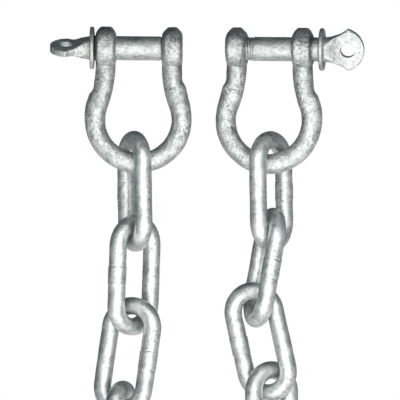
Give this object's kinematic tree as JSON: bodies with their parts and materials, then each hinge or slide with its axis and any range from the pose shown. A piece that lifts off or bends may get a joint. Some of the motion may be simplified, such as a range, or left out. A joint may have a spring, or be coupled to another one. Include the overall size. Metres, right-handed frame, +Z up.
{
  "type": "safety chain with shackles",
  "caption": "Galvanised long-link trailer safety chain lying in a U, with a screw-pin bow shackle at each end.",
  "frame": {"origin": "under the middle of the whole chain, on the surface that it lies on", "axes": "+Y from the turn of the U towards the shackles, +X from the left shackle to the right one, +Z up from the surface"},
  "size_m": [0.1502, 0.4286, 0.029],
  "materials": {
    "zinc_links": "hot-dip galvanised, smooth and satin",
    "zinc_bows": "hot-dip galvanised, mottled and slightly rough",
    "zinc_pins": "hot-dip galvanised, mottled"
  },
  "bodies": {
    "left_eye_pin_body": {"left_eye_pin": "zinc_pins"},
    "left_shackle_bow_body": {"left_shackle_bow": "zinc_bows"},
    "link_body_01": {"link_01": "zinc_links"},
    "link_body_02": {"link_02": "zinc_links"},
    "link_body_03": {"link_03": "zinc_links"},
    "link_body_04": {"link_04": "zinc_links"},
    "link_body_05": {"link_05": "zinc_links"},
    "link_body_06": {"link_06": "zinc_links"},
    "link_body_07": {"link_07": "zinc_links"},
    "link_body_08": {"link_08": "zinc_links"},
    "link_body_09": {"link_09": "zinc_links"},
    "link_body_10": {"link_10": "zinc_links"},
    "link_body_11": {"link_11": "zinc_links"},
    "link_body_12": {"link_12": "zinc_links"},
    "link_body_13": {"link_13": "zinc_links"},
    "link_body_14": {"link_14": "zinc_links"},
    "link_body_15": {"link_15": "zinc_links"},
    "link_body_16": {"link_16": "zinc_links"},
    "link_body_17": {"link_17": "zinc_links"},
    "link_body_18": {"link_18": "zinc_links"},
    "link_body_19": {"link_19": "zinc_links"},
    "link_body_20": {"link_20": "zinc_links"},
    "link_body_21": {"link_21": "zinc_links"},
    "right_shackle_bow_body": {"right_shackle_bow": "zinc_bows"},
    "right_eye_pin_body": {"right_eye_pin": "zinc_pins"}
  },
  "joints": [
    {"name": "link_12_swing", "type": "hinge", "parent": "link_body_11", "child": "link_body_12", "pos_m": [0.02253, -0.1989, 0.01447], "axis": [-0.1315, 0.1611, 0.9781], "range_deg": [-60, 0]},
    {"name": "link_13_swing", "type": "hinge", "parent": "link_body_12", "child": "link_body_13", "pos_m": [0.05042, -0.1735, 0.01567], "axis": [0.8954, -0.3207, 0.309], "range_deg": [-45, 60]},
    {"name": "link_14_swing", "type": "hinge", "parent": "link_body_13", "child": "link_body_14", "pos_m": [0.06, -0.13494, 0.01431], "axis": [0.342, 0.0054, -0.9397], "range_deg": [0, 60]},
    {"name": "link_15_swing", "type": "hinge", "parent": "link_body_14", "child": "link_body_15", "pos_m": [0.05812, -0.09661, 0.0149], "axis": [-0.9735, -0.1814, -0.1392], "range_deg": [-60, 60]},
    {"name": "link_16_swing", "type": "hinge", "parent": "link_body_15", "child": "link_body_16", "pos_m": [0.0498, -0.05855, 0.01472], "axis": [0.0488, 0.0212, 0.9986], "range_deg": [-60, 0]},
    {"name": "link_17_swing", "type": "hinge", "parent": "link_body_16", "child": "link_body_17", "pos_m": [0.04084, -0.02073, 0.01432], "axis": [-0.948, -0.2096, 0.2395], "range_deg": [-55, 55]},
    {"name": "link_18_swing", "type": "hinge", "parent": "link_body_17", "child": "link_body_18", "pos_m": [0.03262, 0.01774, 0.01431], "axis": [-0.6018, -0.0418, -0.7975], "range_deg": [-3, 50]},
    {"name": "link_19_swing", "type": "hinge", "parent": "link_body_18", "child": "link_body_19", "pos_m": [0.03262, 0.05624, 0.01257], "axis": [-0.5575, 0.3186, 0.7666], "range_deg": [-58, 0]},
    {"name": "link_20_swing", "type": "hinge", "parent": "link_body_19", "child": "link_body_20", "pos_m": [0.02236, 0.09251, 0.0129], "axis": [-0.9458, 0.1722, 0.2755], "range_deg": [-24, 2]},
    {"name": "link_21_swing", "type": "hinge", "parent": "link_body_20", "child": "link_body_21", "pos_m": [0.03232, 0.11498, 0.01422], "axis": [-0.9161, 0.0996, 0.3884], "range_deg": [0, 50]},
    {"name": "right_shackle_bow_swing", "type": "hinge", "parent": "link_body_21", "child": "right_shackle_bow_body", "pos_m": [0.03201, 0.16207, 0.01311], "axis": [-0.1389, 0.0149, 0.9902], "range_deg": [-60, 24]},
    {"name": "link_10_swing", "type": "hinge", "parent": "link_body_11", "child": "link_body_10", "pos_m": [-0.02512, -0.201, 0.01447], "axis": [0.1892, 0.285, 0.9397], "range_deg": [0, 60]},
    {"name": "link_09_swing", "type": "hinge", "parent": "link_body_10", "child": "link_body_09", "pos_m": [-0.0555, -0.18041, 0.01625], "axis": [-0.8218, -0.3229, 0.4695], "range_deg": [-60, 40]},
    {"name": "link_08_swing", "type": "hinge", "parent": "link_body_09", "child": "link_body_08", "pos_m": [-0.06526, -0.14232, 0.0136], "axis": [-0.7085, -0.0136, -0.7056], "range_deg": [-60, 60]},
    {"name": "link_07_swing", "type": "hinge", "parent": "link_body_08", "child": "link_body_07", "pos_m": [-0.06212, -0.10439, 0.01178], "axis": [-0.6371, 0.089, 0.7656], "range_deg": [-60, 60]},
    {"name": "link_06_swing", "type": "hinge", "parent": "link_body_07", "child": "link_body_06", "pos_m": [-0.05477, -0.06643, 0.01272], "axis": [0.7977, -0.1861, 0.5736], "range_deg": [-60, 60]},
    {"name": "link_05_swing", "type": "hinge", "parent": "link_body_06", "child": "link_body_05", "pos_m": [-0.04576, -0.02892, 0.01294], "axis": [0.4959, -0.068, -0.8657], "range_deg": [-60, 0]},
    {"name": "link_04_swing", "type": "hinge", "parent": "link_body_05", "child": "link_body_04", "pos_m": [-0.03892, 0.00884, 0.01447], "axis": [-0.9354, 0.0898, -0.342], "range_deg": [-60, 60]},
    {"name": "link_03_swing", "type": "hinge", "parent": "link_body_04", "child": "link_body_03", "pos_m": [-0.03586, 0.04744, 0.01419], "axis": [-0.3663, 0.0848, 0.9266], "range_deg": [0, 60]},
    {"name": "link_02_swing", "type": "hinge", "parent": "link_body_03", "child": "link_body_02", "pos_m": [-0.03035, 0.08566, 0.01236], "axis": [0.6804, -0.059, 0.7305], "range_deg": [-16, 60]},
    {"name": "link_01_swing", "type": "hinge", "parent": "link_body_02", "child": "link_body_01", "pos_m": [-0.02981, 0.12371, 0.01387], "axis": [-0.9204, -0.0159, 0.3907], "range_deg": [-60, 60]},
    {"name": "left_shackle_bow_swing", "type": "hinge", "parent": "link_body_01", "child": "left_shackle_bow_body", "pos_m": [-0.03076, 0.1623, 0.01399], "axis": [-0.0006, -0.0694, -0.9976], "range_deg": [-60, 16]},
    {"name": "left_pin_unscrew", "type": "slide", "parent": "left_shackle_bow_body", "child": "left_eye_pin_body", "axis": [-1, 0.0087, 0], "range_m": [0, 0.045]},
    {"name": "right_pin_unscrew", "type": "slide", "parent": "right_shackle_bow_body", "child": "right_eye_pin_body", "axis": [0.9901, -0.0155, 0.1392], "range_m": [-0.0025, 0.0425]}
  ]
}
